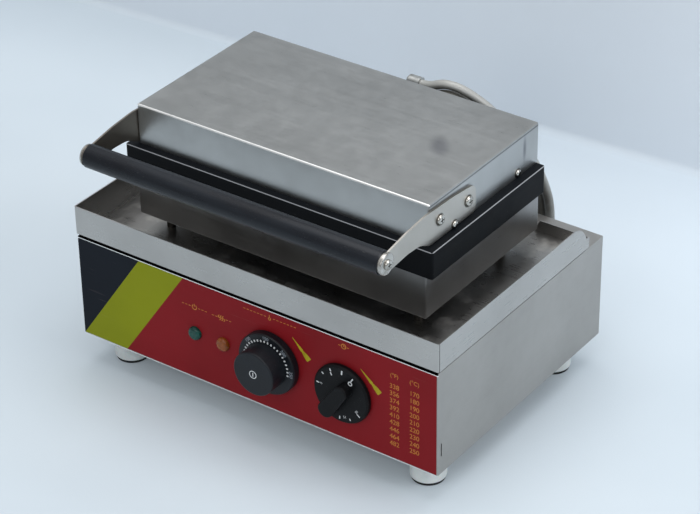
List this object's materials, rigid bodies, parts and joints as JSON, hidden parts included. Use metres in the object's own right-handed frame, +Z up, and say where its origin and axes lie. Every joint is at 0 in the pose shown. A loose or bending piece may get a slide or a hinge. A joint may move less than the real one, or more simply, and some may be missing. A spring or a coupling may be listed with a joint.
{
  "type": "churro waffle maker",
  "caption": "Countertop churro cooker: hinged upper plate with a full-width bar handle over a fluted lower plate, in a drip tray on a cabinet with two dials and two lamps.",
  "frame": {"origin": "on the surface that it stands on, below the middle of the cabinet and of the overall size", "axes": "+X to the right along the front, +Y from the front to the rear, +Z up"},
  "size_m": [0.443, 0.3697, 0.2958],
  "materials": {
    "stainless_sheet": "satin sheet",
    "dark_housing_sheet": "dark heat-stained sheet",
    "coated_iron": "black non-stick coating",
    "printed_film": "printed film, black, yellow and red",
    "black_plastic": "satin moulding",
    "chrome_disc": "polished",
    "screw_steel": "plated",
    "cast_fitting": "die cast",
    "heater_sheath": "heat stained",
    "clamp_sheet": "mill finish",
    "blanket": "ceramic fibre",
    "pale_foot": "satin moulding",
    "dark_rubber": "matte",
    "light_conduit": "smooth sleeve over steel conduit",
    "dark_conduit": "smooth sleeve over steel conduit",
    "green_lens": "clear tinted dome",
    "orange_lens": "clear tinted dome",
    "control_body": "moulding",
    "bulb_copper": "drawn copper",
    "wire_cover": "glass-fibre sleeve"
  },
  "bodies": {
    "base": {"base_conduit_fitting": "cast_fitting", "base_nuts": "screw_steel", "bottom_plate": "stainless_sheet", "cabinet_screws": "screw_steel", "cabinet_shell": "stainless_sheet", "cabinet_wiring": "wire_cover", "cable_gland": "control_body", "conduit_inner": "dark_conduit", "conduit_outer": "light_conduit", "control_overlay": "printed_film", "drip_tray": "stainless_sheet", "feet": "pale_foot", "foot_pads": "dark_rubber", "foot_screws": "screw_steel", "green_lamp_lens": "green_lens", "hinge_bracket_screws": "screw_steel", "hinge_brackets": "stainless_sheet", "hinge_pin_clips": "screw_steel", "hinge_pins": "screw_steel", "housing_screws": "screw_steel", "housing_standoffs": "stainless_sheet", "lamp_bodies": "control_body", "lamp_nuts": "control_body", "lower_clamp_bolts": "screw_steel", "lower_clamp_plate": "clamp_sheet", "lower_heater": "heater_sheath", "lower_housing": "dark_housing_sheet", "lower_insulation": "blanket", "lower_mould_plate": "coated_iron", "orange_lamp_lens": "orange_lens", "panel_lock_nuts": "screw_steel", "rear_panel": "stainless_sheet", "standoff_screws": "screw_steel", "terminal_block": "control_body", "thermostat_body": "control_body", "thermostat_bulb": "bulb_copper", "timer_body": "control_body", "wiring_sleeve": "control_body"},
    "lid": {"lid_cover": "stainless_sheet", "upper_mould_plate": "coated_iron", "upper_heater": "heater_sheath", "upper_clamp_plate": "clamp_sheet", "upper_clamp_bolts": "screw_steel", "upper_insulation": "blanket", "lid_screws": "screw_steel", "handle_arm_left": "stainless_sheet", "handle_arm_right": "stainless_sheet", "handle_bar": "black_plastic", "handle_end_discs": "chrome_disc", "handle_screws": "screw_steel", "arm_bolts": "screw_steel", "arm_nuts": "screw_steel", "hinge_arms": "cast_fitting", "hinge_arm_screws": "screw_steel", "lid_conduit_fitting": "cast_fitting", "lid_lock_nut": "screw_steel"},
    "temperature_dial": {"temperature_knob": "black_plastic", "temperature_spindle": "screw_steel"},
    "timer_dial": {"timer_knob": "black_plastic", "timer_spindle": "screw_steel"}
  },
  "joints": [
    {"name": "lid_hinge", "type": "hinge", "parent": "base", "child": "lid", "pos_m": [0, 0.112, 0.236], "axis": [-1, 0, 0], "range_deg": [0, 95], "deforming": ["conduit_outer", "conduit_inner"]},
    {"name": "temperature_turn", "type": "hinge", "parent": "base", "child": "temperature_dial", "pos_m": [0.0249, -0.16, 0.0939], "axis": [0, 1, 0], "range_deg": [0, 300]},
    {"name": "timer_turn", "type": "hinge", "parent": "base", "child": "timer_dial", "pos_m": [0.1123, -0.16, 0.0907], "axis": [0, 1, 0], "range_deg": [0, 300]}
  ]
}
